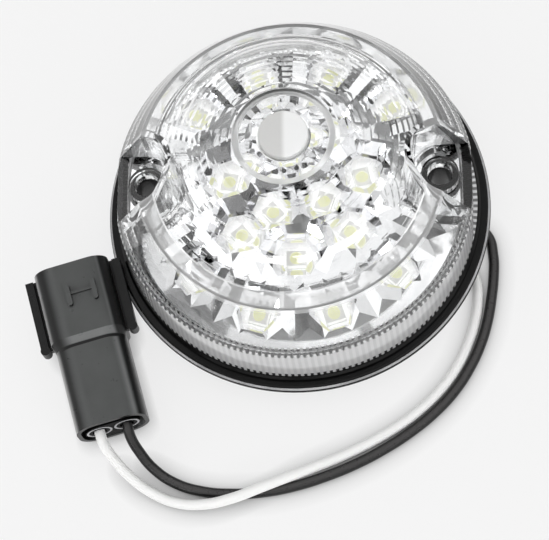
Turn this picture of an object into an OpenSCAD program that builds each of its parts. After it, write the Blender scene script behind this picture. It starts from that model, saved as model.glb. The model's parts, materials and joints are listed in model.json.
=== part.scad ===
// Round LED vehicle lamp with a clear domed lens, a faceted bright reflector,
// a two-screw fixing and a short two-wire lead that ends in a sealed plug.
// Millimetres. The origin is on the lamp's axis, on the rear face of the gasket.

/* [Gasket and base] */
// Outside diameter of the rubber gasket
gasket_d = 73; // [70.5:0.5:74.5]
// Thickness of the rubber gasket
gasket_t = 1.9; // [1.2:0.1:2.2]
// How far the base flange stands out around the lens skirt
flange_lip = 0.6; // [0.3:0.1:0.9]
// Thickness of the base flange
flange_t = 1.3; // [1:0.1:2]
// Diameter of the round spigot behind the base
spigot_d = 42; // [38:0.5:44]
// How far the spigot stands out behind the gasket
spigot_h = 3.6; // [3.3:0.1:3.9]
// Wall and floor thickness of the spigot
spigot_wall = 1.8; // [1.4:0.1:2.4]

/* [Lens] */
// Diameter of the lens skirt where it meets the base
skirt_d = 68; // [66:0.1:68.4]
// Height of the lens skirt
skirt_h = 10.4; // [9.6:0.1:11]
// How much narrower the skirt is on each side at its top
skirt_draft = 0.6; // [0.3:0.1:0.9]
// Wall thickness of the lens
lens_wall = 1.7; // [1.4:0.1:1.9]
// Wall thickness of the lens at its shoulder
shoulder_wall = 1.1; // [0.9:0.1:1.4]
// Diameter of the shoulder edge at the foot of the dome
shoulder_d = 55.8; // [55:0.1:57]
// Height of the shoulder edge above the base flange
shoulder_h = 20; // [19:0.1:21]
// Diameter of the foot of the dome
dome_d = 50.4; // [49:0.1:51.4]
// Height of the foot of the dome above the base flange
dome_foot_h = 21.3; // [21:0.1:22]
// Height of the top of the dome above the base flange
dome_h = 33.6; // [32:0.1:35]
// Number of fine upright flutes inside the skirt
flutes = 180; // [120:4:200]
// Depth of a flute
flute_depth = 0.4; // [0.2:0.05:0.5]
// Diameter of the round dish in the top of the dome
eye_d = 18; // [16:0.1:20]
// Diameter of the round button in the middle of the dish
button_d = 8.8; // [8:0.1:10.4]
// Depth of the dish
eye_depth = 0.5; // [0.3:0.05:0.7]

/* [Fixing screws] */
// Distance between the two fixing screws
screw_spacing = 54; // [53.4:0.1:54.6]
// Diameter of the fixing holes
screw_hole_d = 4.7; // [4.3:0.1:5.1]
// Radius of the round inner end of each screw pocket
pocket_r = 6.5; // [6.2:0.1:6.8]
// How far the middle of that round end lies outside the fixing hole
pocket_shift = 1.3; // [1:0.1:1.6]
// How far the flat outer wall of each pocket is set in from the skirt
pocket_set_in = 1.2; // [1:0.1:1.5]
// Diameter of the raised collar around each fixing hole
collar_d = 6.9; // [6.4:0.1:7.4]
// Height of the raised collar
collar_h = 1.9; // [1.2:0.1:2.2]

/* [Reflector and board] */
// Thickness of the circuit board
board_t = 1.2; // [1:0.1:1.6]
// Height of the rim that carries the board
rim_h = 2.4; // [2.2:0.1:3]
// Wall of the rim that carries the board
rim_wall = 2; // [1.6:0.1:2.4]
// Clearance between the reflector and the inside of the lens skirt
reflector_gap = 0.25; // [0.2:0.05:0.5]
// Height of the reflector's outer land above the board
reflector_edge_h = 4.6; // [4:0.1:5.2]
// Height of the reflector at its middle above the board
reflector_h = 9.6; // [9:0.1:10.2]
// Number of broad pleats in the reflector's crown
crown_pleats = 20; // [16:1:24]
// Number of fine pleats around the reflector's outer slope
slope_pleats = 36; // [28:2:44]
// Number of flat faces around each reflector bowl
bowl_faces = 6; // [5:1:8]

/* [Light emitters] */
// Length of an emitter package
emitter_l = 3.5; // [3.2:0.1:3.7]
// Width of an emitter package
emitter_w = 2.8; // [2.5:0.1:3]
// Height of an emitter package
emitter_h = 1.7; // [1.2:0.1:1.9]
// Radius of the outer ring of emitters
outer_ring_r = 25.2; // [24.8:0.1:25.4]
// Radius of the middle ring of emitters
middle_ring_r = 12.8; // [12.4:0.1:13.2]
// Radius of the inner ring of emitters
inner_ring_r = 5.6; // [5.4:0.1:5.8]
// Number of emitters in the middle ring
middle_count = 7; // [6:1:7]

/* [Lead] */
// Outside diameter of each wire
wire_d = 2; // [1.8:0.05:2.05]
// Distance between the two wires where they enter the plug
wire_pitch = 5.2; // [5:0.1:5.4]
// Distance between the two wires where they leave the lamp
exit_pitch = 3.2; // [2.6:0.1:3.6]

/* [Plug] */
// Width of the plug's shroud
shroud_w = 14.2; // [13.8:0.1:15]
// Height of the plug's shroud
shroud_h = 12.6; // [12:0.1:13.4]
// Length of the plug's shroud
shroud_l = 14.2; // [13.4:0.1:15]
// Wall of the plug's shroud
shroud_wall = 1.4; // [1.1:0.1:1.6]
// Width of the plug's body
plug_w = 13.4; // [12.8:0.1:13.6]
// Height of the plug's body
plug_h = 10.4; // [9.8:0.1:11]
// Length of the plug from its mouth to its wire end
plug_l = 31.5; // [30:0.1:34]
// Width over the two side rails of the plug
rails_w = 18.4; // [17.8:0.1:19]
// Depth of the socket in the plug's mouth
socket_depth = 11.4; // [10:0.1:12]
// Diameter of the two seal wells in the plug's wire end
seal_well_d = 4.6; // [4.2:0.1:4.8]

/* [Hidden] */
// Levels, from the gasket's rear face
rest_z = -spigot_h;
flange_z = gasket_t;
lens_z = flange_z + flange_t;
board_z = lens_z + rim_h;
board_top = board_z + board_t;
skirt_top_z = lens_z + skirt_h;
shoulder_z = lens_z + shoulder_h;
dome_foot_z = lens_z + dome_foot_h;
dome_top_z = lens_z + dome_h;
edge_top_z = board_top + reflector_edge_h;
reflector_top_z = board_top + reflector_h;

// Lens
skirt_r = skirt_d / 2;
skirt_top_r = skirt_r - skirt_draft;
shoulder_r = shoulder_d / 2;
dome_r = dome_d / 2;
dome_rise = dome_top_z - dome_foot_z;
dome_ball_r = (dome_r * dome_r + dome_rise * dome_rise) / (2 * dome_rise);
dome_ball_z = dome_top_z - dome_ball_r;
edge_round = 0.5;
dish_bevel = 0.9;
button_rise = 0.25;
slack = 0.2;
skirt_in_r = skirt_top_r - lens_wall;
rib_r = skirt_in_r - flute_depth;

// Pockets for the fixing screws
screw_x = screw_spacing / 2;
screw_r = screw_hole_d / 2;
pocket_floor_z = skirt_top_z + 0.2;
pocket_under_z = pocket_floor_z - lens_wall;
pocket_flat = skirt_r - pocket_set_in;
flat_half = sqrt(skirt_r * skirt_r - pocket_flat * pocket_flat);
collar_top_z = pocket_floor_z + collar_h;

// Base
flange_r = skirt_r + flange_lip;
spigot_r = spigot_d / 2;
cup_r = spigot_r - spigot_wall;
reflector_r = rib_r - reflector_gap;
reflector_wall = 0.6;
rim_gap = 0.2;
rim_r = reflector_r - reflector_wall - rim_gap;
boss_r = collar_d / 2;
gasket_gap = 0.3;
gasket_round = 0.9;
gasket_in_r = spigot_r + gasket_gap;

// Board, reflector and emitters
board_inset = 0.8;
board_r = rim_r - board_inset;
boss_gap = 0.5;
wall_foot_gap = 0.1;
land_r = 29.6;
crown_r = 21;
crown_h = 2.8;
crown_top_r = 5;
crown_pleat_depth = 2.6;
slope_pleat_depth = 2.2;
cup_gap = 0.15;
cup_h = 4;
cup_spread = 1.9;
bowl_foot_r = 2.6;
bowl_foot_h = 2.6;
bowl_top_r = 7.6;
outer_angles = [42, 74, 106, 138, 222, 254, 286, 318];
inner_count = 3;
inner_turn = 101;
outer_count = len(outer_angles);
well_d = 2.4;
well_depth = 0.4;
first_middle = outer_count;
first_inner = outer_count + middle_count;
emitter_count = first_inner + inner_count;

function ring_place(r, a) = [r * cos(a), r * sin(a), a];
function emitter_place(i) =
    i < first_middle ? ring_place(outer_ring_r, outer_angles[i])
    : i < first_inner ? ring_place(middle_ring_r, 270 + (i - first_middle) * 360 / middle_count)
    : ring_place(inner_ring_r, inner_turn + (i - first_inner) * 360 / inner_count);

// Small parts under the board: [x, y, turn]
resistor_places = [[-9, 12, 0], [-3, 12, 0], [3, 12, 0], [9, 12, 0], [-6, -13, 90], [6, -13, 90]];
resistor_size = [3.2, 1.6, 0.6];
diode_size = [4.3, 2.6, 2.1];
driver_size = [6.5, 6.1, 2.3];
capacitor_d = 5;
capacitor_h = 5.2;
diode_at = [0, -6];
driver_at = [-8, 0];
capacitor_at = [8, 3];
potting_h = 1.6;
potting_gap = 0.3;

// Wire outlet in the side of the spigot
outlet_w = exit_pitch + wire_d + 1.4;
outlet_h = wire_d + 0.6;
outlet_z = -1.9;
outlet_turn = -15;
outlet_lip = 0.7;
outlet_lip_side = 0.25;
wire_start_gap = 0.2;

// Plug
plug_end_at = [-34.49, -42.68];
plug_turn = 15.3;
shroud_round = 3.4;
plug_round = 4;
plug_z = (shroud_h - plug_h) / 2;
plug_mid_z = shroud_h / 2;
step_l = 1.2;
rail_t = 1.5;
rail_l = 14.2;
rail_set_in = 0.3;
rail_z = 6.3;
rail_h = 2.5;
rail_web = 0.9;
rail_web_h = 1.2;
lock_rib_w = 0.9;
lock_rib_l = 3.6;
lock_rib_h = 0.8;
lock_rib_pitch = 4.9;
lock_rib_shift = 1.2;
lock_rib_at = 4.6;
lock_bar_w = 0.5;
lock_bar_h = 0.35;
well_l = 9;
cover_t = 1.4;
cover_w = wire_pitch + seal_well_d + 0.6;
cover_h = seal_well_d + 1.8;
end_wall = 0.8;
cover_hole_gap = 0.35;
seal_h = well_l - cover_t - 0.4;
seal_ribs = 3;
seal_groove = 0.35;
seal_gap = 0.03;
pin_w = 1.5;
pin_t = 0.8;
pin_stand = 7.4;
pin_root = 2;
lock_plate_t = 1.6;
lock_plate_gap = 0.15;
wire_end_gap = 0.15;

// Points of a wire at the lamp's outlet and in the plug's wire end, on one side of each
function turned_by(x, y, a) = [x * cos(a) - y * sin(a), x * sin(a) + y * cos(a)];
function exit_point(side, out) =
    let (p = turned_by(spigot_r + outlet_lip + wire_start_gap + out, side * exit_pitch / 2, outlet_turn))
    [p.x, p.y, outlet_z];
function plug_point(side, out) =
    let (p = plug_end_at + turned_by(side * wire_pitch / 2, -out, plug_turn))
    [p.x, p.y, rest_z + plug_mid_z];
end_in = cover_t - wire_end_gap;

// Routes of the two wires, from the lamp to the plug
black_route = concat([exit_point(1, 0), exit_point(1, 2.5)], [
    [27.4, -4.9, -2.2], [30.8, -4.2, -2.5], [33.8, -4, -2.6],
    [35.8, -5.8, -2.6], [36.6, -9.6, -2.6], [36.5, -13.8, -2.6], [35.9, -18.2, -2.6],
    [35, -22.6, -2.6], [33.5, -27.2, -2.6], [31.3, -31.7, -2.6], [28.4, -36, -2.6],
    [24.6, -40, -2.6], [20.2, -43.5, -2.6], [15.3, -46.6, -2.6], [10, -49.3, -2.6],
    [4.4, -51.5, -2.6], [-1.4, -53.2, -2.6], [-7.2, -54.2, -2.6], [-13, -54.4, -2.6],
    [-18.6, -53.8, -2.6], [-23.6, -52.2, -2.3], [-27.4, -49.7, -1.2], [-29.9, -46.8, 0.6],
    [-31.3, -44.4, 2.1]
], [plug_point(1, 0.6), plug_point(1, -end_in)]);
white_route = concat([exit_point(-1, 0), exit_point(-1, 2.5)], [
    [26.6, -8.7, -2.2], [29.7, -9.6, -2.5], [32, -11.6, -2.6],
    [33.2, -14.8, -2.6], [33.3, -18.6, -2.6], [32.5, -23, -2.6], [30.9, -27.6, -2.6],
    [28.6, -32, -2.6], [25.5, -36, -2.6], [21.8, -39.5, -2.6], [17.5, -42.6, -2.6],
    [12.7, -45.3, -2.6], [7.6, -47.7, -2.5], [2.4, -49.8, -2], [-2.6, -51.8, -1.1],
    [-7.6, -53.8, -0.4], [-12.8, -55.6, -0.7], [-18.2, -56.4, -1.7], [-23.4, -55.8, -2.4],
    [-28, -53.8, -2.4], [-31.8, -51, -1.4], [-34.7, -47.9, 0.4], [-36.3, -45.6, 2]
], [plug_point(-1, 0.6), plug_point(-1, -end_in)]);
wire_sides = 8;
$fn = 96;

// A round solid about Z from an outline of [radius, height] points
module turned(points, sides = 180) {
    rotate_extrude($fn = sides) polygon(points);
}

// A block about the origin in x and y, standing on z = 0
module block(size) {
    translate([-size.x / 2, -size.y / 2, 0]) cube(size);
}

// An outline with rounded corners, centred
module rounded_outline(w, h, r) {
    square([w - 2 * r, h], center = true);
    if (h > 2 * r) square([w, h - 2 * r], center = true);
    for (x = [-1, 1], y = [-1, 1])
        translate([x * (w / 2 - r), y * (h / 2 - r)]) circle(r, $fn = 48);
}

// The arc of the dome from a radius to its top, set in by a distance
function dome_arc(r_from, inset, steps) =
    let (ball = dome_ball_r - inset, a0 = asin(min(1, r_from / ball)))
    [for (i = [0 : steps]) let (a = a0 * (1 - i / steps)) [ball * sin(a), dome_ball_z + ball * cos(a)]];
skirt_corner = [skirt_top_r - edge_round, skirt_top_z + edge_round * 0.7];
shoulder_corner = [shoulder_r, shoulder_z];
dome_corner = [dome_r, dome_foot_z];
dome_wall = lens_wall + flute_depth;

// The corner of an outline that runs from a by b to c, set in by a distance
function slope_normal(a, b) = [b.y - a.y, a.x - b.x] / norm(b - a);
function corner_set_in(a, b, c, t) =
    let (n = slope_normal(a, b), m = slope_normal(b, c)) b - t * (n + m) / (1 + n * m);

// The slot around each fixing screw, grown by a distance
module pockets(grow) {
    half_l = flat_half + 1 + grow;
    for (turn = [0, 180]) rotate([0, 0, turn]) {
        translate([screw_x + pocket_shift, 0, pocket_floor_z - grow])
            cylinder(r = pocket_r + grow, h = dome_top_z);
        translate([screw_x + pocket_shift, -pocket_r - grow, pocket_floor_z - grow])
            cube([skirt_r, 2 * (pocket_r + grow), dome_top_z]);
        translate([pocket_flat - grow, -half_l, lens_z - 1])
            cube([skirt_r, 2 * half_l, skirt_h + 1 + 2 * edge_round]);
    }
}

module screw_holes(r, z, h) {
    for (s = [-1, 1]) translate([s * screw_x, 0, z]) cylinder(r = r, h = h);
}

// The hollow inside the lens, with the flutes of the skirt
module lens_hollow() {
    flute_top_z = skirt_top_z - lens_wall;
    core_r = rib_r - 0.05;
    difference() {
        union() {
            turned(concat(
                [[0, lens_z - 1], [core_r, lens_z - 1], [core_r, skirt_top_z - edge_round]],
                [corner_set_in(skirt_corner, shoulder_corner, dome_corner, shoulder_wall)],
                dome_arc(dome_r - 0.6 * dome_wall, dome_wall, 20)
            ));
            translate([0, 0, lens_z - 1])
                linear_extrude(flute_top_z - lens_z + 1)
                    polygon([for (i = [0 : 2 * flutes - 1])
                        let (r = i % 2 == 0 ? skirt_in_r : rib_r, a = i * 180 / flutes)
                        [r * cos(a), r * sin(a)]]);
        }
        pockets(lens_wall);
    }
}

// The dish in the top of the dome, with its button
module eye() {
    dish_r = eye_d / 2;
    floor_r = dish_r - dish_bevel;
    button_r = button_d / 2;
    ball = dome_ball_r;
    dish_edge_z = dome_ball_z + sqrt(ball * ball - dish_r * dish_r);
    dish_floor_z = dish_edge_z - eye_depth;
    button_z = dome_top_z - button_rise;
    turned([
        [0, button_z], [button_r * 0.6, button_z - 0.05], [button_r - 0.2, button_z - 0.2],
        [button_r, button_z - 0.4], [button_r, dish_floor_z + 0.15], [button_r + 0.4, dish_floor_z],
        [floor_r, dish_floor_z], [dish_r, dish_edge_z], [dish_r, dome_top_z + 1], [0, dome_top_z + 1]
    ]);
}

module lens() color([0.93, 0.95, 0.96, 0.35]) difference() {
    union() {
        difference() {
            turned(concat(
                [[0, lens_z], [skirt_r, lens_z], [skirt_top_r, skirt_top_z - edge_round]],
                [skirt_corner, shoulder_corner], dome_arc(dome_r, 0, 20)
            ));
            lens_hollow();
            pockets(0);
            eye();
        }
        screw_holes(boss_r, pocket_floor_z - slack, collar_h + slack);
    }
    screw_holes(screw_r, lens_z, dome_h);
}

module housing() color([0.06, 0.06, 0.065]) difference() {
    union() {
        turned([
            [0, rest_z], [spigot_r - 0.4, rest_z], [spigot_r, rest_z + 0.4], [spigot_r, flange_z],
            [flange_r - 0.3, flange_z], [flange_r, flange_z + 0.3],
            [flange_r, lens_z - 0.4], [flange_r - 0.4, lens_z], [0, lens_z]
        ]);
        translate([0, 0, flange_z]) cylinder(r = rim_r, h = board_z - flange_z);
        screw_holes(boss_r, flange_z, pocket_under_z - flange_z);
    }
    translate([0, 0, rest_z + spigot_wall]) cylinder(r = cup_r, h = board_z);
    translate([0, 0, lens_z]) difference() {
        cylinder(r = rim_r - rim_wall, h = board_z);
        screw_holes(boss_r, -1, board_z + 2);
    }
    screw_holes(screw_r, flange_z - 1, dome_h);
    rotate([0, 0, outlet_turn]) translate([cup_r - outlet_lip, 0, outlet_z])
        outlet_slice(spigot_d, 0);
}

// A slice of the wire outlet's oval along x
module outlet_slice(l, grow) rotate([90, 0, 90]) linear_extrude(l)
    rounded_outline(outlet_w + 2 * grow, outlet_h + 2 * grow, outlet_h / 2 + grow);

module gasket() color([0.09, 0.09, 0.09]) difference() {
    turned([
        [gasket_in_r, 0], [gasket_d / 2 - gasket_round, 0],
        for (a = [-75 : 15 : 75])
            [gasket_d / 2 - gasket_round + gasket_round * cos(a), gasket_t / 2 + gasket_t / 2 * sin(a)],
        [gasket_d / 2 - gasket_round, gasket_t], [gasket_in_r, gasket_t]
    ]);
    screw_holes(screw_r, -1, gasket_t + 2);
}

// A pleated outline: a star with its inner points a depth inside its outer ones
module star(r, count, depth) polygon([for (i = [0 : 2 * count - 1])
    let (d = i % 2 == 0 ? r : r - depth, a = i * 180 / count) [d * cos(a), d * sin(a)]]);

// The hollow around one emitter: a four-sided cup under a faceted bowl, both open upwards
module bowl() {
    cup_w = emitter_w + 2 * cup_gap;
    linear_extrude(cup_h, scale = (cup_w + 2 * cup_spread) / cup_w)
        square([cup_w, emitter_l + 2 * cup_gap], center = true);
    translate([0, 0, -slack]) block([cup_w, emitter_l + 2 * cup_gap, 2 * slack]);
    translate([0, 0, bowl_foot_h]) rotate([0, 0, 180 / bowl_faces])
        cylinder(r1 = bowl_foot_r, r2 = bowl_top_r, h = reflector_h - bowl_foot_h + slack, $fn = bowl_faces);
}

module reflector() color([0.86, 0.87, 0.88]) difference() {
    wall_in_r = reflector_r - reflector_wall;
    wall_foot_z = lens_z + wall_foot_gap;
    union() {
        turned([
            [0, board_top], [wall_in_r, board_top], [wall_in_r, wall_foot_z], [reflector_r, wall_foot_z],
            [reflector_r, edge_top_z - 0.2], [reflector_r - 0.2, edge_top_z], [0, edge_top_z]
        ]);
        translate([0, 0, edge_top_z]) linear_extrude(crown_h, scale = crown_r / land_r)
            star(land_r, slope_pleats, slope_pleat_depth);
        translate([0, 0, edge_top_z + crown_h])
            linear_extrude(reflector_top_z - edge_top_z - crown_h, scale = crown_top_r / crown_r)
                star(crown_r - slope_pleat_depth, crown_pleats, crown_pleat_depth);
    }
    for (i = [0 : emitter_count - 1]) {
        p = emitter_place(i);
        translate([p.x, p.y, board_top]) rotate([0, 0, p.z]) bowl();
    }
    pockets(lens_wall + boss_gap);
    screw_holes(boss_r + boss_gap, 0, dome_h);
}

module circuit_board() color([0.88, 0.9, 0.88]) translate([0, 0, board_z]) difference() {
    cylinder(r = board_r, h = board_t);
    screw_holes(boss_r + boss_gap, -1, board_t + 2);
    for (s = [-1, 1]) translate([s * (screw_x + skirt_r / 2), 0, -1])
        block([skirt_r, 2 * (boss_r + boss_gap), board_t + 2]);
}

module potting() color([0.12, 0.12, 0.13]) translate([0, 0, rest_z + spigot_wall])
    difference() {
        cylinder(r = cup_r, h = potting_h);
        rotate([0, 0, outlet_turn]) translate([cup_r - outlet_lip - potting_gap, -outlet_w, -1])
            cube([cup_r, 2 * outlet_w, potting_h + 2]);
    }

module wire_grommet() color([0.1, 0.1, 0.1]) rotate([0, 0, outlet_turn]) translate([0, 0, outlet_z]) {
    inner_x = cup_r - outlet_lip;
    translate([inner_x, 0, 0]) outlet_slice(spigot_r - inner_x, 0);
    translate([spigot_r, 0, 0]) outlet_slice(outlet_lip, outlet_lip_side);
}

module diode() color([0.12, 0.12, 0.12])
    translate([diode_at.x, diode_at.y, board_z - diode_size.z]) block(diode_size);

module driver_chip() color([0.1, 0.1, 0.1])
    translate([driver_at.x, driver_at.y, board_z - driver_size.z]) block(driver_size);

module capacitor() color([0.75, 0.76, 0.78])
    translate([capacitor_at.x, capacitor_at.y, board_z - capacitor_h])
        cylinder(d = capacitor_d, h = capacitor_h);

module resistor(i) color([0.15, 0.15, 0.15])
    translate([resistor_places[i].x, resistor_places[i].y, board_z - resistor_size.z])
        rotate([0, 0, resistor_places[i].z]) block(resistor_size);

module emitter(i) color([0.97, 0.96, 0.85]) {
    p = emitter_place(i);
    translate([p.x, p.y, board_top]) rotate([0, 0, p.z]) difference() {
        block([emitter_w, emitter_l, emitter_h]);
        translate([0, 0, emitter_h - well_depth]) cylinder(d = well_d, h = 1, $fn = 32);
    }
}

// A wire swept along a route, with flat ends
function unit(v) = v / norm(v);
function route_dir(p, i) = unit(p[min(i + 1, len(p) - 1)] - p[max(i - 1, 0)]);
function wire_ring(p, i) =
    let (t = route_dir(p, i), side = unit(cross([0, 0, 1], t)), up = cross(t, side))
    [for (k = [0 : wire_sides - 1])
        let (a = (k + 0.5) * 360 / wire_sides)
        p[i] + wire_d / 2 * (cos(a) * side + sin(a) * up)];
module wire(route) {
    n = len(route);
    points = [for (i = [0 : n - 1]) each wire_ring(route, i)];
    sides = [for (i = [0 : n - 2], k = [0 : wire_sides - 1])
        let (a = i * wire_sides, j = (k + 1) % wire_sides)
        [a + k, a + wire_sides + k, a + wire_sides + j, a + j]];
    start = [[for (k = [0 : wire_sides - 1]) k]];
    finish = [[for (k = [wire_sides - 1 : -1 : 0]) (n - 1) * wire_sides + k]];
    polyhedron(points, concat(sides, start, finish), convexity = 10);
}

module wire_black() color([0.08, 0.08, 0.08]) wire(black_route);
module wire_white() color([0.95, 0.95, 0.95]) wire(white_route);

// The plug's own frame: mouth at y = 0, wire end at y = -plug_l, standing on z = 0
module place_plug()
    translate([plug_end_at.x, plug_end_at.y, rest_z]) rotate([0, 0, plug_turn]) translate([0, plug_l, 0])
        children();

// A slice of the plug along y, from y0 back to y1
module along(y0, y1) translate([0, y0, plug_mid_z]) rotate([90, 0, 0]) linear_extrude(y0 - y1) children();

module plug_shell() {
    along(0, -shroud_l) rounded_outline(shroud_w, shroud_h, shroud_round);
    hull() {
        along(-shroud_l, -shroud_l - 0.01) rounded_outline(shroud_w, shroud_h, shroud_round);
        along(-shroud_l - step_l, -shroud_l - step_l - 0.01) rounded_outline(plug_w, plug_h, plug_round);
    }
    along(-shroud_l, -plug_l) rounded_outline(plug_w, plug_h, plug_round);
}

module side_rails() {
    for (s = [0, 1]) mirror([s, 0, 0]) {
        x0 = rails_w / 2 - rail_t;
        translate([x0, -rail_l, rail_z]) cube([rail_t, rail_l - rail_set_in, rail_h]);
        translate([x0 + rail_t / 2, -rail_l, rail_z]) cylinder(d = rail_t + 0.3, h = rail_h, $fn = 32);
        translate([shroud_w / 2 - rail_web, -shroud_l, rail_z])
            cube([x0 - shroud_w / 2 + rail_web + slack, shroud_l, rail_web_h]);
    }
}

module lock_ribs() {
    for (s = [-1, 1])
        translate([lock_rib_shift + s * lock_rib_pitch / 2, -lock_rib_at, shroud_h - slack]) {
        translate([-lock_rib_w / 2, -lock_rib_l, 0]) cube([lock_rib_w, lock_rib_l, lock_rib_h + slack]);
        translate([0, -lock_rib_l, 0]) cylinder(d = lock_rib_w, h = lock_rib_h + slack, $fn = 24);
    }
    translate([lock_rib_shift - lock_rib_pitch / 2, -lock_rib_at - lock_rib_l / 2, shroud_h - slack])
        cube([lock_rib_pitch, lock_bar_w, lock_bar_h + slack]);
}

module plug_housing() color([0.13, 0.135, 0.14]) place_plug() difference() {
    union() {
        plug_shell();
        side_rails();
        lock_ribs();
    }
    socket_w = shroud_w - 2 * shroud_wall;
    socket_h = shroud_h - 2 * shroud_wall;
    along(1, -socket_depth) rounded_outline(socket_w, socket_h, shroud_round - shroud_wall);
    along(-plug_l + cover_t, -plug_l - 1)
        rounded_outline(plug_w - 2 * end_wall, plug_h - 2 * end_wall, plug_round - end_wall);
    for (s = [-1, 1]) {
        translate([s * wire_pitch / 2, -plug_l - 1, plug_mid_z]) rotate([-90, 0, 0])
            cylinder(d = seal_well_d, h = well_l + 1);
        translate([s * wire_pitch / 2 - pin_w / 2, -plug_l, plug_mid_z - pin_t / 2])
            cube([pin_w, plug_l, pin_t]);
    }
}

// The plate in the bottom of the socket that locks the pins
module plug_lock() color([0.75, 0.76, 0.78]) place_plug() difference() {
    plate_w = shroud_w - 2 * shroud_wall - 2 * lock_plate_gap;
    plate_h = shroud_h - 2 * shroud_wall - 2 * lock_plate_gap;
    along(-socket_depth + lock_plate_t, -socket_depth)
        rounded_outline(plate_w, plate_h, shroud_round - shroud_wall);
    for (s = [-1, 1]) translate([s * wire_pitch / 2 - pin_w / 2 - 0.1, -plug_l, plug_mid_z - pin_t / 2 - 0.1])
        cube([pin_w + 0.2, plug_l, pin_t + 0.2]);
}

// The oval cover that keeps the wire seals in, standing in the recess of the wire end
module plug_cover() color([0.1, 0.1, 0.1]) place_plug() difference() {
    along(-plug_l + cover_t, -plug_l) rounded_outline(cover_w, cover_h, cover_h / 2);
    for (s = [-1, 1]) translate([s * wire_pitch / 2, -plug_l - 1, plug_mid_z]) rotate([-90, 0, 0])
        cylinder(d = wire_d + 2 * cover_hole_gap, h = cover_t + 2);
}

module plug_pin(s) color([0.78, 0.76, 0.7]) place_plug()
    translate([s * wire_pitch / 2, 0, plug_mid_z]) {
        back = plug_l - well_l;
        tip = socket_depth - pin_stand;
        translate([-pin_w / 2, -back, -pin_t / 2]) cube([pin_w, back - tip, pin_t]);
    }

module wire_seal(s) color([0.2, 0.2, 0.21]) place_plug()
    translate([s * wire_pitch / 2, -plug_l + cover_t, plug_mid_z]) rotate([-90, 0, 0]) {
        r = seal_well_d / 2;
        rib = seal_h / (2 * seal_ribs + 1);
        cylinder(r = r - seal_groove, h = seal_h);
        for (k = [0 : seal_ribs]) translate([0, 0, 2 * k * rib]) cylinder(r = r - seal_gap, h = rib);
    }

lens();
housing();
gasket();
reflector();
circuit_board();
potting();
wire_grommet();
diode();
driver_chip();
capacitor();
for (i = [1 : len(resistor_places)])
    resistor(i - 1);
for (i = [1 : emitter_count])
    emitter(i - 1);
wire_black();
wire_white();
plug_housing();
plug_lock();
plug_cover();
plug_pin(-1);  // plug_pin_1
plug_pin(1);  // plug_pin_2
wire_seal(-1);  // wire_seal_1
wire_seal(1);  // wire_seal_2
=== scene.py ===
"""Round clear-lensed LED vehicle lamp with a two-wire lead, on a pale floor."""
import json
import math

import bpy
from mathutils import Matrix, Vector


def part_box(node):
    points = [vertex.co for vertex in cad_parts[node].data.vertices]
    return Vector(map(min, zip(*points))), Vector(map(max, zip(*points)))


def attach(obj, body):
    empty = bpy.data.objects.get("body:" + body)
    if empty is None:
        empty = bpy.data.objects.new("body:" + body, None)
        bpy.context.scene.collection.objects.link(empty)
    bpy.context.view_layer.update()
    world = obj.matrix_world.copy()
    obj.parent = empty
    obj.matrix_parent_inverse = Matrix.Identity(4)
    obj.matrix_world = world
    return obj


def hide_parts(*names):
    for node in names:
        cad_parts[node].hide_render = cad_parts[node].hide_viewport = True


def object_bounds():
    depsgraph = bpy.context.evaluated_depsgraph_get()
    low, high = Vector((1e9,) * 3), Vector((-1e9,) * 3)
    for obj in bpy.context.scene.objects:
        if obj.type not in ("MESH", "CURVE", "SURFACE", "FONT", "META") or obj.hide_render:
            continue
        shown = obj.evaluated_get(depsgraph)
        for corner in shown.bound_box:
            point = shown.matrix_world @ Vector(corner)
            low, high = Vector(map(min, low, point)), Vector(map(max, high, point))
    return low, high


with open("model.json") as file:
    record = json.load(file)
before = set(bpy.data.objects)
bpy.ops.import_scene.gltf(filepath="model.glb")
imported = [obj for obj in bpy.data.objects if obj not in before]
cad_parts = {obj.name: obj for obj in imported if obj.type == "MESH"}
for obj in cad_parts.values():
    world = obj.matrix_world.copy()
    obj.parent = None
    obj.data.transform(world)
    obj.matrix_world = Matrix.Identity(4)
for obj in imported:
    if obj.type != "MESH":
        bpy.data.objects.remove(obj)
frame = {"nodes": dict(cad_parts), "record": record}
cad_low, cad_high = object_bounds()
MM = 0.001  # sizes are in millimetres, and the scene is in metres
UP = (0.0, 0.0, 1.0)


def put_in_scene(name, data):
    """A new object that holds a camera, curve, mesh or light."""
    made = bpy.data.objects.new(name, data)
    bpy.context.collection.objects.link(made)
    return made


# Camera

# The photo's width and the fitted focal length in pixels, then the angles in degrees
PHOTO_W, FOCAL_PX = 549, 1800.0
CAMERA_AZIMUTH, CAMERA_ELEVATION, CAMERA_ROLL = 14.0, 69.8, -15.2
CAMERA_TARGET = Vector((-4.8, -12.0, 0.0)) * MM
CAMERA_DISTANCE = 341.5 * MM
SENSOR_W = 36.0
NEAREST = 10.0 * MM


def make_camera():
    """A camera at the photo's viewing angle, fitted to the round rims that the photo shows."""
    angles = (CAMERA_AZIMUTH, CAMERA_ELEVATION, CAMERA_ROLL)
    azimuth, elevation, roll = (math.radians(angle) for angle in angles)
    flat = math.cos(elevation)
    back = Vector((math.sin(azimuth) * flat, -math.cos(azimuth) * flat, math.sin(elevation)))
    level_right = Vector((math.cos(azimuth), math.sin(azimuth), 0.0))
    level_up = back.cross(level_right)
    right = math.cos(roll) * level_right + math.sin(roll) * level_up
    up = -math.sin(roll) * level_right + math.cos(roll) * level_up
    data = bpy.data.cameras.new("camera")
    data.sensor_fit = "HORIZONTAL"
    data.sensor_width = SENSOR_W
    data.lens = FOCAL_PX * SENSOR_W / PHOTO_W
    data.clip_start = NEAREST
    camera = put_in_scene("camera", data)
    place = CAMERA_TARGET + CAMERA_DISTANCE * back
    camera.matrix_world = Matrix.Translation(place) @ Matrix((right, up, back)).transposed().to_4x4()
    bpy.context.scene.camera = camera


make_camera()


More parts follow.
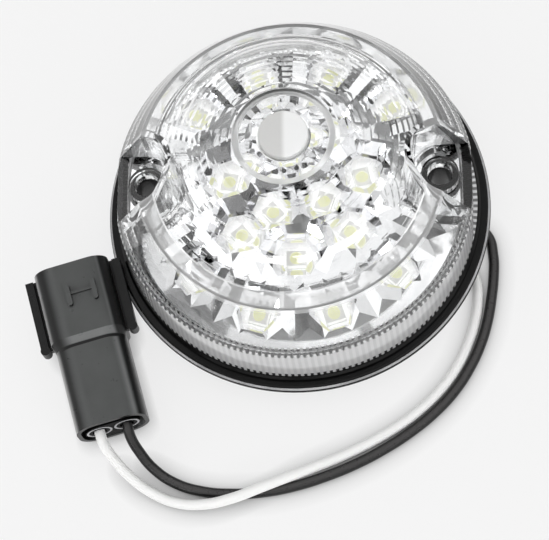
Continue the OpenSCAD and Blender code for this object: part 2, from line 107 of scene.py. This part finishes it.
# Nodes, in a material or in the world, which the first argument names

def node(owner, kind, inputs=None, **settings):
    """Adds a node. Each of its inputs is linked to another node's output or set to a plain value."""
    made = owner.node_tree.nodes.new(kind)
    for key, value in settings.items():
        setattr(made, key, value)
    for socket, source in (inputs or {}).items():
        if isinstance(source, bpy.types.NodeSocket):
            owner.node_tree.links.new(source, made.inputs[socket])
        else:
            made.inputs[socket].default_value = source
    return made


def maths(owner, operation, *values, **settings):
    """The result of a Math node on outputs of other nodes or plain numbers."""
    made = node(owner, "ShaderNodeMath", dict(enumerate(values)), operation=operation, **settings)
    return made.outputs["Value"]


def multiply(owner, *values):
    """The product of the values."""
    product = values[0]
    for value in values[1:]:
        product = maths(owner, "MULTIPLY", product, value)
    return product


def add(owner, *values):
    """The sum of the values, but never more than 1."""
    total = values[0]
    for value in values[1:]:
        total = maths(owner, "ADD", total, value, use_clamp=True)
    return total


def inside(owner, value, low, high):
    """1 where a value lies between two limits, 0 elsewhere."""
    above = maths(owner, "GREATER_THAN", value, low)
    below = maths(owner, "LESS_THAN", value, high)
    return multiply(owner, above, below)


def remap(owner, value, from_low, from_high, to_low, to_high, shape="LINEAR"):
    """Maps one range of a value to another range and stops at its ends."""
    ranges = {"From Min": from_low, "From Max": from_high, "To Min": to_low, "To Max": to_high}
    made = node(owner, "ShaderNodeMapRange", {"Value": value, **ranges}, interpolation_type=shape)
    return made.outputs["Result"]


def between(owner, value, at_zero, at_one):
    """at_zero where a value is 0, at_one where it is 1."""
    return remap(owner, value, 0.0, 1.0, at_zero, at_one)


def soft_step(owner, value, start, end, low=0.0, high=1.0):
    """A smooth change from low to high as a value goes from start to end."""
    return remap(owner, value, start, end, low, high, "SMOOTHSTEP")


def vector_maths(owner, operation, *values):
    """A Vector Math node on outputs of other nodes or plain vectors."""
    return node(owner, "ShaderNodeVectorMath", dict(enumerate(values)), operation=operation)


def length(owner, vector):
    """The length of a vector."""
    return vector_maths(owner, "LENGTH", vector).outputs["Value"]


def share_along(owner, vector, direction):
    """How far a vector reaches along a direction."""
    return vector_maths(owner, "DOT_PRODUCT", vector, direction).outputs["Value"]


def components(owner, vector):
    """The X, Y and Z of a vector."""
    return node(owner, "ShaderNodeSeparateXYZ", {"Vector": vector}).outputs


# Materials

def grey(level):
    """A grey with the same red, green and blue."""
    return (level, level, level)


def shader_of(material):
    return material.node_tree.nodes["Principled BSDF"]


def principled(name, **values):
    """A material with one Principled shader, its sockets set by name with spaces as underscores."""
    material = bpy.data.materials.new(name)
    material.use_nodes = True
    for key, value in values.items():
        shader_of(material).inputs[key.replace("_", " ")].default_value = value
    return material


def drive(material, socket, source):
    """Links a node's output to a socket of the material's shader."""
    material.node_tree.links.new(source, shader_of(material).inputs[socket])


def object_place(material):
    """A point's place in object space, which is the CAD's own frame."""
    return node(material, "ShaderNodeTexCoord").outputs["Object"]


def noise(material, feature_mm, detail=3.0):
    """Noise in object space whose features are about feature_mm across."""
    scale = 1.0 / (feature_mm * MM)
    inputs = {"Vector": object_place(material), "Scale": scale, "Detail": detail}
    return node(material, "ShaderNodeTexNoise", inputs).outputs["Fac"]


NOISE_LOW, NOISE_HIGH = 0.3, 0.7


def spread(material, value, low, high):
    """Maps noise, which mostly lies between NOISE_LOW and NOISE_HIGH, to the range low to high."""
    return remap(material, value, NOISE_LOW, NOISE_HIGH, low, high)


def bump(material, height, depth_mm, strength=1.0):
    """Bumps the surface by a height of 0 to 1 that stands for a depth."""
    inputs = {"Height": height, "Distance": depth_mm * MM, "Strength": strength}
    drive(material, "Normal", node(material, "ShaderNodeBump", inputs).outputs["Normal"])


def uneven_sheen(material, value, roughness, smoother=0.05, rougher=0.06):
    """Roughness that varies a little with noise."""
    drive(material, "Roughness", spread(material, value, roughness - smoother, roughness + rougher))


def mix(material, share, first, second):
    """A colour that goes from first to second as a share goes from 0 to 1."""
    inputs = {"Factor": share, "A": first, "B": second}
    return node(material, "ShaderNodeMix", inputs, data_type="RGBA").outputs["Result"]


def tint(material, value, dark, light):
    """Base colour that varies between two colours with a 0 to 1 value."""
    drive(material, "Base Color", mix(material, value, (*dark, 1), (*light, 1)))


def paint_over(material, share, colour):
    """Mixes a plain colour over the base colour that tint gave a material."""
    under = shader_of(material).inputs["Base Color"].links[0].from_socket
    drive(material, "Base Color", mix(material, share, under, (*colour, 1)))


def facing(material, direction, low, high):
    """0 to 1 as a face turns toward a direction: low and high are its normal's reach along it."""
    normal = node(material, "ShaderNodeNewGeometry").outputs["Normal"]
    return soft_step(material, share_along(material, normal, direction), low, high)


# The two wires

# Their thickness, and their routes from the outlet to the plug
WIRE_D = 2.0
BLACK_ROUTE = [
    (21.57, -4.12, -1.9), (23.98, -4.77, -1.9), (27.4, -4.9, -2.2), (30.8, -4.2, -2.5),
    (33.8, -4, -2.6), (35.8, -5.8, -2.6), (36.6, -9.6, -2.6), (36.5, -13.8, -2.6),
    (35.9, -18.2, -2.6), (35, -22.6, -2.6), (33.5, -27.2, -2.6), (31.3, -31.7, -2.6),
    (28.4, -36, -2.6), (24.6, -40, -2.6), (20.2, -43.5, -2.6), (15.3, -46.6, -2.6),
    (10, -49.3, -2.6), (4.4, -51.5, -2.6), (-1.4, -53.2, -2.6), (-7.2, -54.2, -2.6),
    (-13, -54.4, -2.6), (-18.6, -53.8, -2.6), (-23.6, -52.2, -2.3), (-27.4, -49.7, -1.2),
    (-29.9, -46.8, 0.6), (-31.3, -44.4, 2.1), (-31.82, -42.57, 2.7), (-32.31, -40.78, 2.7),
]
WHITE_ROUTE = [
    (20.74, -7.21, -1.9), (23.15, -7.86, -1.9), (26.6, -8.7, -2.2), (29.7, -9.6, -2.5),
    (32, -11.6, -2.6), (33.2, -14.8, -2.6), (33.3, -18.6, -2.6), (32.5, -23, -2.6),
    (30.9, -27.6, -2.6), (28.6, -32, -2.6), (25.5, -36, -2.6), (21.8, -39.5, -2.6),
    (17.5, -42.6, -2.6), (12.7, -45.3, -2.6), (7.6, -47.7, -2.5), (2.4, -49.8, -2),
    (-2.6, -51.8, -1.1), (-7.6, -53.8, -0.4), (-12.8, -55.6, -0.7), (-18.2, -56.4, -1.7),
    (-23.4, -55.8, -2.4), (-28, -53.8, -2.4), (-31.8, -51, -1.4), (-34.7, -47.9, 0.4),
    (-36.3, -45.6, 2), (-36.84, -43.95, 2.7), (-37.33, -42.15, 2.7),
]
PLASTIC_IOR = 1.5


def insulation(name, dark, light, top, roughness, gloss=0.5):
    """Extruded wire insulation: a soft sheen with faint streaks, and a painted highlight along its top.
    """
    material = principled(name, IOR=PLASTIC_IOR, Specular_IOR_Level=gloss)
    streaks = noise(material, feature_mm=0.8)
    tint(material, streaks, dark, light)
    # painted highlight: the top colour on the faces that look up
    paint_over(material, facing(material, UP, low=0.75, high=0.98), top)
    uneven_sheen(material, streaks, roughness, rougher=0.07)
    bump(material, noise(material, feature_mm=0.25), depth_mm=0.012)
    return material


def make_wire(name, route, material):
    """A round curve through the points of a route."""
    curve = bpy.data.curves.new(name, "CURVE")
    curve.dimensions = "3D"
    curve.bevel_depth = WIRE_D / 2 * MM
    curve.bevel_resolution = 6
    curve.resolution_u = 10
    curve.use_fill_caps = True
    spline = curve.splines.new("BEZIER")
    spline.bezier_points.add(len(route) - 1)
    for point, place in zip(spline.bezier_points, route):
        point.co = Vector(place) * MM
        point.handle_left_type = point.handle_right_type = "AUTO"
    curve.materials.append(material)
    return put_in_scene(name, curve)


def declare_wire(wire):
    """Attaches a wire to the root body, and hides the node of the frame that it stands for."""
    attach(wire, "root")
    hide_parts(wire.name.replace("_lead", ""))


# top is the colour of the painted highlight along each wire's top
BLACK = insulation("black insulation", dark=grey(0.003), light=grey(0.006), top=(0.05, 0.048, 0.048),
                   roughness=0.3, gloss=0.35)
WHITE = insulation("white insulation", dark=(0.86, 0.86, 0.85), light=(0.93, 0.93, 0.92),
                   top=(0.93, 0.93, 0.92), roughness=0.4)
black_wire = make_wire("wire_black_lead", BLACK_ROUTE, BLACK)
white_wire = make_wire("wire_white_lead", WHITE_ROUTE, WHITE)
declare_wire(black_wire)
declare_wire(white_wire)


# Finishes of the lamp body

# A zone is a ring about the lamp's axis: its inner and outer radius, and its lowest and highest height
# An inner radius of ON_AXIS, below any radius, makes it a full disc
ON_AXIS = -1.0
BUTTON_ZONE = (ON_AXIS, 4.4, 34.0, 38.0)
DISH_RIM_ZONE = (7.9, 9.1, 34.0, 38.0)
SHELF_ZONE = (24.9, 28.3, 22.2, 25.0)
TEETH_ZONE = (31.0, 34.2, 12.6, 13.5)
SKIRT_ZONE = (31.0, 34.2, 3.0, 12.6)
FOOT_ZONE = (31.0, 34.2, 3.15, 4.3)
SIDE_ZONE = (30.95, 31.4, 3.0, 11.3)
CUPS_ZONE = (ON_AXIS, 30.0, 6.7, 9.3)
EDGE_ZONE = (35.2, 36.6, 1.5, 1.8)
WELD_ZONE = (31.15, 33.95, 3.1, 3.3)


def zone(material, inner_mm, outer_mm, low_mm, high_mm):
    """1 inside a zone, 0 outside it."""
    x, y, height = components(material, object_place(material))
    flat = node(material, "ShaderNodeCombineXYZ", {"X": x, "Y": y})
    radius = length(material, flat.outputs["Vector"])
    in_ring = inside(material, radius, inner_mm * MM, outer_mm * MM)
    return multiply(material, in_ring, inside(material, height, low_mm * MM, high_mm * MM))


FLUTES = 180
TOOTH_EDGE = 0.5


def teeth(material, low=0.0, high=1.0):
    """Stripes round the lamp's axis, in step with the flutes of the skirt, from low to high."""
    x, y, _ = components(material, object_place(material))
    turns = maths(material, "MULTIPLY", maths(material, "ARCTAN2", y, x), FLUTES)
    return soft_step(material, maths(material, "COSINE", turns), -TOOTH_EDGE, TOOTH_EDGE, low, high)


HALF_LINE = 0.6


def left_half(material):
    """1 on the left of the lamp's axis and 0 on its right, with a soft line between them."""
    x = components(material, object_place(material))["X"]
    return soft_step(material, x, HALF_LINE * MM, -HALF_LINE * MM)


POLYCARBONATE_IOR = 1.585
# How milky each zone is, and how much of the skirt's milk is left between its flutes
BUTTON_MILK, SHELF_MILK, SKIRT_MILK, TEETH_MILK = 0.85, 0.28, 0.7, 0.55
BETWEEN_FLUTES = 0.85
POLISHED, FROSTED = 0.012, 0.4
SKIRT_COLOUR = (0.76, 0.76, 0.765)
FOOT_PAINTED_DARK = grey(0.02)
BUTTON_PAINTED_SHADE = (0.7, 0.7, 0.69)


def clear_plastic():
    """Clear polycarbonate with a frosted button and dish rim, and a milky skirt and shoulder; painted
    dark teeth at its foot, and painted shade on the button's left half.
    """
    material = principled("clear polycarbonate", IOR=POLYCARBONATE_IOR)
    button = zone(material, *BUTTON_ZONE)
    dish_rim = zone(material, *DISH_RIM_ZONE)
    shelf = zone(material, *SHELF_ZONE)
    tooth_row = zone(material, *TEETH_ZONE)
    skirt = zone(material, *SKIRT_ZONE)
    foot = zone(material, *FOOT_ZONE)
    milky = add(material,
                multiply(material, button, BUTTON_MILK),
                multiply(material, shelf, SHELF_MILK),
                multiply(material, skirt, teeth(material, BETWEEN_FLUTES * SKIRT_MILK, SKIRT_MILK)),
                multiply(material, tooth_row, teeth(material, high=TEETH_MILK)))
    drive(material, "Transmission Weight", between(material, milky, 1.0, 0.0))
    frosted = add(material, button, dish_rim)
    drive(material, "Roughness", between(material, frosted, POLISHED, FROSTED))
    tint(material, noise(material, feature_mm=20.0),
         dark=(0.98, 0.985, 0.985), light=(0.99, 0.995, 0.995))
    paint_over(material, skirt, SKIRT_COLOUR)
    # painted dark teeth on the clear foot, standing in for the black base seen through it
    paint_over(material, multiply(material, foot, teeth(material)), FOOT_PAINTED_DARK)
    # painted shade: the button's left half is greyer, standing in for the reflection the lens shows there
    paint_over(material, multiply(material, button, left_half(material)), BUTTON_PAINTED_SHADE)
    bump(material, noise(material, feature_mm=6.0, detail=1.0), depth_mm=0.02, strength=0.25)
    return material


CUP_GLOW = 0.25
CUP_MILK = (0.6, 0.8)
BRIGHT_ROUGHNESS, MILKY_ROUGHNESS = 0.05, 0.35


def bright_metal():
    """Bright metallising, thin and milky beside the skirt and in the cups, which glow a little."""
    material = principled("bright metallising")
    side = zone(material, *SIDE_ZONE)
    cups = zone(material, *CUPS_ZONE)
    patchy = spread(material, noise(material, feature_mm=2.0), *CUP_MILK)
    thin = add(material, side, multiply(material, cups, patchy))
    drive(material, "Metallic", between(material, thin, 1.0, 0.0))
    drive(material, "Roughness", between(material, thin, BRIGHT_ROUGHNESS, MILKY_ROUGHNESS))
    # painted light: the cups glow a little, though they give no light
    drive(material, "Emission Strength", multiply(material, cups, CUP_GLOW))
    tint(material, noise(material, feature_mm=4.0), dark=(0.93, 0.93, 0.94), light=(0.98, 0.98, 0.99))
    bump(material, noise(material, feature_mm=2.5, detail=1.0), depth_mm=0.03, strength=0.35)
    return material


def moulded(name, dark, light, roughness, grain_mm=0.12, grain_depth_mm=0.01, gloss=0.5):
    """Moulded plastic or rubber with a fine grain and a slightly uneven sheen."""
    material = principled(name, IOR=PLASTIC_IOR, Specular_IOR_Level=gloss)
    tint(material, noise(material, feature_mm=3.0), dark, light)
    uneven_sheen(material, noise(material, feature_mm=1.5), roughness)
    bump(material, noise(material, grain_mm), grain_depth_mm)
    return material


def metal(name, colour, roughness, patch_level=0.85):
    """Plain metal whose colour is a little darker in patches."""
    material = principled(name, Metallic=1.0, Roughness=roughness)
    darker = tuple(patch_level * level for level in colour)
    tint(material, noise(material, feature_mm=1.0), dark=darker, light=colour)
    bump(material, noise(material, feature_mm=0.3), depth_mm=0.004)
    return material


JET = {"dark": grey(0.002), "light": grey(0.005)}
PAINTED_EDGE_HIGHLIGHT = (0.5, 0.5, 0.51)
WELD_COLOUR = (0.8, 0.8, 0.81)
EMITTER_GLOW = 0.3


def gasket_rubber():
    """Black rubber with a painted highlight along its rounded edge, patchy with noise."""
    material = moulded("gasket rubber", **JET, roughness=0.2, gloss=0.2)
    # painted highlight: a pale line along the rounded edge
    edge = zone(material, *EDGE_ZONE)
    patchy_light = spread(material, noise(material, feature_mm=9.0), 0.5, 1.0)
    paint_over(material, multiply(material, edge, patchy_light), PAINTED_EDGE_HIGHLIGHT)
    return material


def black_base():
    """The black base, with the pale line of the weld where the lens's foot stands on it."""
    material = moulded("black base", **JET, roughness=0.18, gloss=0.2)
    weld = zone(material, *WELD_ZONE)
    paint_over(material, multiply(material, weld, teeth(material, low=0.25)), WELD_COLOUR)
    return material


def emitter_package():
    """White emitter package with a faint painted glow, though it is not lit."""
    material = moulded("emitter package", dark=(0.9, 0.9, 0.86), light=(0.97, 0.97, 0.94), roughness=0.35)
    # painted light: a faint glow that lifts the shade in the cups
    shader_of(material).inputs["Emission Strength"].default_value = EMITTER_GLOW
    return material


# Finishes of the plug

# Its side and axis in the frame, and the middle of its wire end
PLUG_TURN = math.radians(15.3)
PLUG_SIDE = Vector((math.cos(PLUG_TURN), math.sin(PLUG_TURN), 0.0))
PLUG_AXIS = Vector((-math.sin(PLUG_TURN), math.cos(PLUG_TURN), 0.0))
PLUG_END = (Vector(BLACK_ROUTE[-1]) + Vector(WHITE_ROUTE[-1])) / 2 * MM
# Where its painted light fades in, each between two distances from its wire end, which leaves painted
# shade on its rounded shoulders and a painted shadow line below the step, and the tones: a painted
# highlight on its slopes, painted light on its tops, a painted reflection on its left side, and a pale
# ring about each wire
STEP_AT = 14.9
LEFT_SHOULDER, RIGHT_SHOULDER = (-5.4, -2.4), (5.8, 5.0)
BEHIND_STEP, AHEAD_OF_STEP = (STEP_AT - 0.5, STEP_AT - 0.8), (STEP_AT - 0.1, STEP_AT + 0.1)
PAINTED_SLOPE_HIGHLIGHT = (0.17, 0.175, 0.175)
PAINTED_TOP_LIGHT = (0.068, 0.071, 0.07)
PAINTED_SIDE_REFLECTION = grey(0.3)
RING_IN_R, RING_OUT_R = 2.0, 2.4
RING_COLOUR = (0.45, 0.45, 0.46)


def from_plug_end(material, direction, at_zero_mm, at_one_mm):
    """0 to 1 between two distances from the plug's wire end, counted along a direction."""
    end = direction.dot(PLUG_END)
    reach = share_along(material, object_place(material), direction)
    return soft_step(material, reach, end + at_zero_mm * MM, end + at_one_mm * MM)


def plug_plastic():
    """Black plug moulding with painted light: grey on its slopes and top, which leaves painted shade on
    its darker shoulders and a painted shadow line below the step, and a painted reflection on its pale
    left side.
    """
    material = moulded("plug moulding", **JET, roughness=0.32,
                       grain_mm=0.18, grain_depth_mm=0.02, gloss=0.3)
    # painted shade: the painted light stops short of both rounded shoulders, which stay black
    left = from_plug_end(material, PLUG_SIDE, *LEFT_SHOULDER)
    right = from_plug_end(material, PLUG_SIDE, *RIGHT_SHOULDER)
    # painted shadow: a dark line just below the step
    behind_step = from_plug_end(material, PLUG_AXIS, *BEHIND_STEP)
    ahead_of_step = from_plug_end(material, PLUG_AXIS, *AHEAD_OF_STEP)
    clear_of_step_shadow = add(material, behind_step, ahead_of_step)
    # noise that makes the painted light patchy
    patchy_light = spread(material, noise(material, feature_mm=5.0), 0.85, 1.0)
    painted_light_mask = multiply(material, left, right, clear_of_step_shadow, patchy_light)
    slopes = facing(material, UP, low=0.2, high=0.6)
    # painted highlight on the sloping faces
    paint_over(material, multiply(material, painted_light_mask, slopes), PAINTED_SLOPE_HIGHLIGHT)
    level_faces = facing(material, UP, low=0.8, high=0.95)
    # painted light on the level tops, as if lit from above
    paint_over(material, multiply(material, painted_light_mask, level_faces), PAINTED_TOP_LIGHT)
    # painted reflection of the floor on the left side
    paint_over(material, facing(material, -PLUG_SIDE, low=0.72, high=0.95), PAINTED_SIDE_REFLECTION)
    return material


def around_wire(material, route):
    """1 in a thin ring about a wire where it enters the plug, 0 elsewhere."""
    arm = vector_maths(material, "SUBTRACT", object_place(material), Vector(route[-1]) * MM)
    turn = vector_maths(material, "CROSS_PRODUCT", arm.outputs["Vector"], PLUG_AXIS)
    radius = length(material, turn.outputs["Vector"])
    return inside(material, radius, RING_IN_R * MM, RING_OUT_R * MM)


def plug_end():
    """The black cover at the plug's wire end, with a pale ring about each wire on its end face."""
    material = moulded("plug cover", dark=grey(0.001), light=grey(0.003), roughness=0.5, gloss=0.05)
    rings = add(material, around_wire(material, BLACK_ROUTE), around_wire(material, WHITE_ROUTE))
    end_face = facing(material, -PLUG_AXIS, low=0.8, high=0.9)
    paint_over(material, multiply(material, rings, end_face), RING_COLOUR)
    return material


# A finish for each material slot of the record

FINISH = {
    "lens_clear": clear_plastic(),
    "reflector_bright": bright_metal(),
    "base_black": black_base(),
    "gasket_rubber": gasket_rubber(),
    "board_white": moulded("board coating", (0.8, 0.82, 0.8), (0.88, 0.9, 0.88), roughness=0.35),
    "potting_black": moulded("potting resin", (0.01, 0.01, 0.012), (0.02, 0.02, 0.022), roughness=0.3),
    "chip_black": moulded("chip package", grey(0.02), grey(0.03), roughness=0.5),
    "capacitor_can": metal("capacitor can", (0.8, 0.81, 0.83), roughness=0.3),
    "emitter_white": emitter_package(),
    "wire_black": BLACK,
    "wire_white": WHITE,
    "plug_grey": plug_plastic(),
    "lock_grey": moulded("lock plate", (0.4, 0.41, 0.42), (0.5, 0.51, 0.52), roughness=0.45),
    "cover_black": plug_end(),
    "pin_metal": metal("tinned pin", (0.75, 0.73, 0.68), roughness=0.25),
    "seal_rubber": moulded("seal rubber", (0.1, 0.1, 0.11), (0.16, 0.16, 0.17), roughness=0.5),
}

for part in frame["record"]["subparts"]:
    mesh = frame["nodes"][part["node"]].data
    mesh.materials.clear()
    mesh.materials.append(FINISH[part["material_slot"]])


# Emitters' yellow wells

WELL_D, WELL_DEPTH = 2.4, 0.4
FILL_GAP, FILL_SIDES = 0.02, 32
FILL_R = WELL_D / 2 - FILL_GAP
FILL_BELOW_RIM = 0.35 * WELL_DEPTH
PHOSPHOR_GLOW = 0.38


def phosphor():
    """Pale yellow phosphor with a faint painted glow, though it is not lit."""
    # painted light: the phosphor glows a little
    material = principled("phosphor", Roughness=0.5, Emission_Strength=PHOSPHOR_GLOW,
                          Emission_Color=(1.0, 1.0, 0.68, 1))
    tint(material, noise(material, feature_mm=0.3), dark=(0.86, 0.88, 0.5), light=(0.94, 0.96, 0.68))
    bump(material, noise(material, feature_mm=0.2), depth_mm=0.01)
    return material


def add_disc(vertices, faces, middle, foot, top):
    """Adds a closed upright disc to the lists of a mesh."""
    first = len(vertices)
    for z in (foot, top):
        for k in range(FILL_SIDES):
            angle = 2 * math.pi * k / FILL_SIDES
            x, y = FILL_R * MM * math.cos(angle), FILL_R * MM * math.sin(angle)
            vertices.append((middle.x + x, middle.y + y, z))
    foot_ring = range(first, first + FILL_SIDES)
    top_ring = range(first + FILL_SIDES, first + 2 * FILL_SIDES)
    for k in range(FILL_SIDES):
        j = (k + 1) % FILL_SIDES
        faces.append((foot_ring[k], foot_ring[j], top_ring[j], top_ring[k]))
    faces.append(tuple(top_ring))
    faces.append(tuple(reversed(foot_ring)))


def make_phosphor():
    """One piece, with a low disc of phosphor in the well of each emitter."""
    vertices, faces = [], []
    for name in sorted(n for n in frame["nodes"] if n.startswith("emitter_")):
        low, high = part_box(name)
        foot = high.z - WELL_DEPTH * MM
        top = high.z - FILL_BELOW_RIM * MM
        add_disc(vertices, faces, (low + high) / 2, foot, top)
    mesh = bpy.data.meshes.new("phosphor_fill")
    mesh.from_pydata(vertices, [], faces)
    mesh.materials.append(phosphor())
    fill = put_in_scene("phosphor_fill", mesh)
    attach(fill, "root")


make_phosphor()


# Floor, world and lamp

FLOOR_HALF = 1500.0 * MM
FLOOR_GLOW, FLOOR_COLOUR = 0.76, grey(0.13)
CONTACT_MM, CONTACT_SAMPLES = 3.5, 16


def make_floor():
    """A pale floor that glows a little, like a light table, with a narrow soft shadow at each contact."""
    mesh = bpy.data.meshes.new("floor")
    signs = ((-1, -1), (1, -1), (1, 1), (-1, 1))
    corners = [(x * FLOOR_HALF, y * FLOOR_HALF, cad_low.z) for x, y in signs]
    mesh.from_pydata(corners, [], [(0, 1, 2, 3)])
    material = principled("floor", Roughness=0.6, Emission_Strength=FLOOR_GLOW,
                          Base_Color=(*FLOOR_COLOUR, 1))
    # painted contact shadow: ambient occlusion darkens the floor's glow near the object
    contact = node(material, "ShaderNodeAmbientOcclusion", {"Distance": CONTACT_MM * MM},
                   samples=CONTACT_SAMPLES)
    drive(material, "Emission Color", contact.outputs["Color"])
    mesh.materials.append(material)
    put_in_scene("floor", mesh)


# The studio's level by the height of a ray, which is 0 at the horizon and 1 overhead
BANDS = [(0.0, 0.7), (0.15, 0.75), (0.35, 1.0), (1.0, 1.0)]
# Bright and grey panels, and small black flags between them, from noise over the ray's direction
PANEL_SCALE, PANEL_DETAIL, PANEL_DARK, PANEL_BRIGHT = 3.0, 1.0, 0.9, 1.35
PANEL_EDGE = (0.44, 0.52)
FLAG_SCALE, FLAG_DETAIL, FLAG_LEVEL = 5.5, 0.0, 0.37
# A bright strip in front, between two heights
STRIP_LOW, STRIP_HIGH, STRIP_BRIGHT = 0.44, 0.49, 10.0
# A dark round patch where a viewer would stand: its direction, and the cosine at its edge
VIEWER, VIEWER_EDGE = (0.084, -0.335, 0.938), 0.985
BACKDROP_LEVEL, WORLD_STRENGTH = 1.01, 0.9


def height_level(world, height):
    """The level that BANDS gives for a ray's height."""
    ramp = node(world, "ShaderNodeValToRGB", {"Fac": height})
    elements = ramp.color_ramp.elements
    for place, _ in BANDS[1:-1]:
        elements.new(place)
    for element, (place, level) in zip(elements, BANDS):
        element.position = place
        element.color = (*grey(level), 1)
    return ramp.outputs["Color"]


def patches(world, ray, scale, detail):
    """Noise over the direction of a ray."""
    inputs = {"Vector": ray, "Scale": scale, "Detail": detail}
    return node(world, "ShaderNodeTexNoise", inputs).outputs["Fac"]


def make_world():
    """A pale studio of panels, flags, a strip and a viewer, with a plain backdrop for the camera."""
    world = bpy.data.worlds.new("studio")
    bpy.context.scene.world = world
    world.use_nodes = True
    ray = node(world, "ShaderNodeTexCoord").outputs["Generated"]
    _, y, height = components(world, ray)
    panel_noise = patches(world, ray, PANEL_SCALE, PANEL_DETAIL)
    panels = soft_step(world, panel_noise, *PANEL_EDGE, PANEL_DARK, PANEL_BRIGHT)
    in_front = maths(world, "LESS_THAN", y, 0.0)
    strip = multiply(world, inside(world, height, STRIP_LOW, STRIP_HIGH), in_front)
    level = maths(world, "MULTIPLY_ADD", strip, STRIP_BRIGHT, panels)
    no_viewer = maths(world, "LESS_THAN", share_along(world, ray, VIEWER), VIEWER_EDGE)
    no_flag = maths(world, "GREATER_THAN", patches(world, ray, FLAG_SCALE, FLAG_DETAIL), FLAG_LEVEL)
    studio = multiply(world, height_level(world, height), level, no_viewer, no_flag)
    from_camera = node(world, "ShaderNodeLightPath").outputs["Is Camera Ray"]
    seen = node(world, "ShaderNodeMix", {"Factor": from_camera, "A": studio, "B": BACKDROP_LEVEL})
    background = world.node_tree.nodes["Background"]
    world.node_tree.links.new(seen.outputs["Result"], background.inputs["Color"])
    background.inputs["Strength"].default_value = WORLD_STRENGTH


KEY_PLACE, KEY_SIDE = Vector((-100, 150, 600)) * MM, 800 * MM
KEY_WATTS = 0.35


def make_key_lamp():
    """A large weak square lamp overhead that looks at the lamp body."""
    data = bpy.data.lights.new("key", "AREA")
    data.shape = "SQUARE"
    data.size = KEY_SIDE
    data.energy = KEY_WATTS
    lamp = put_in_scene("key", data)
    lamp.location = KEY_PLACE
    lamp.rotation_mode = "QUATERNION"
    lamp.rotation_quaternion = (-KEY_PLACE).to_track_quat("-Z", "Y")


make_floor()
make_world()
make_key_lamp()

bpy.context.scene.view_settings.view_transform = "Standard"
